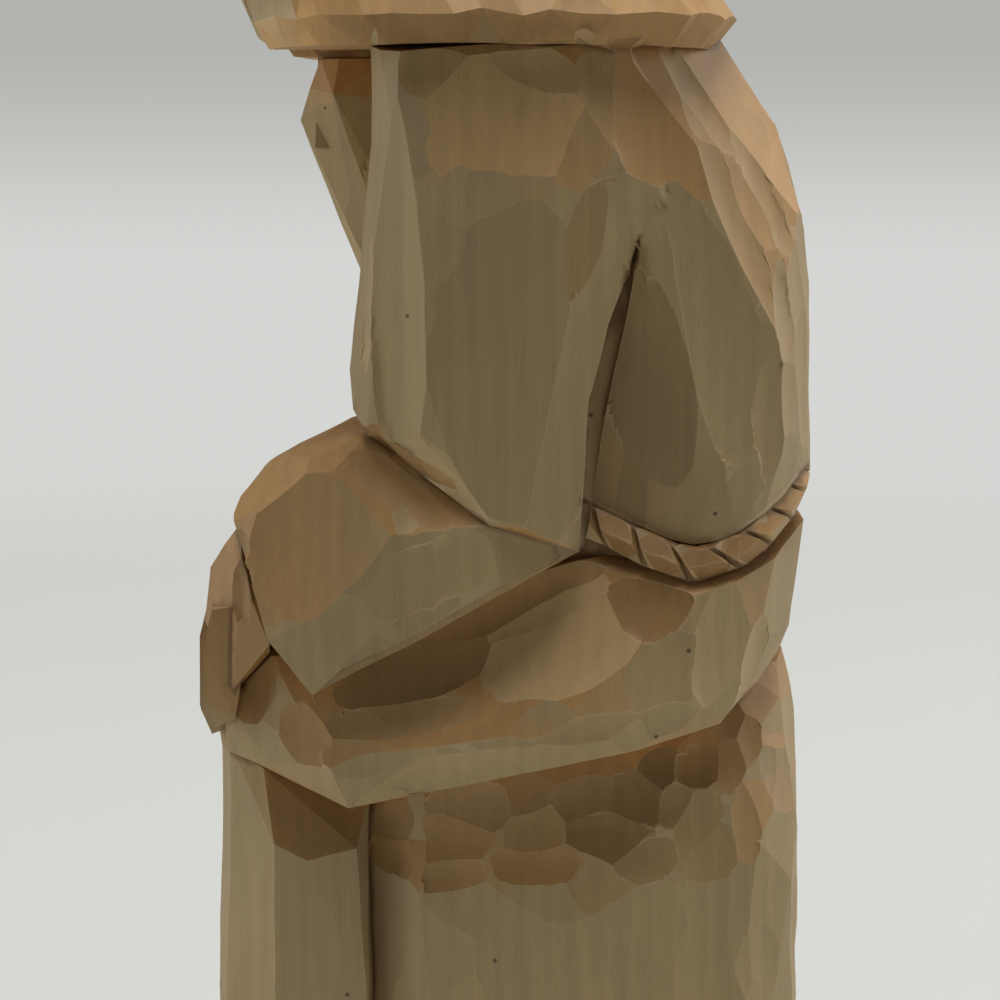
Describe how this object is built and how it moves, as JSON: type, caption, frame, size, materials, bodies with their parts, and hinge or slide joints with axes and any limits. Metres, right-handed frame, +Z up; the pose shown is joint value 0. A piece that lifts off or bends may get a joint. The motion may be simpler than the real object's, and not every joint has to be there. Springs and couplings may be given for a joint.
{
  "type": "seated pensive jesus statue",
  "caption": "Knife-carved wooden figure of a seated, bearded man in a long robe, head resting on one hand, on a block seat and low plinth; stands on its flat underside as a shelf ornament.",
  "frame": {"origin": "centre of the plinth's flat underside, on the surface that the statue stands on", "axes": "+Z up the figure, -Y the way the figure faces, +X to the figure's own left"},
  "size_m": [0.116, 0.132, 0.34],
  "materials": {
    "limewood": "raw knife-cut limewood, unpainted and unvarnished, side grain khaki and end grain orange brown"
  },
  "bodies": {
    "root": {"statue": "limewood"}
  },
  "joints": []
}
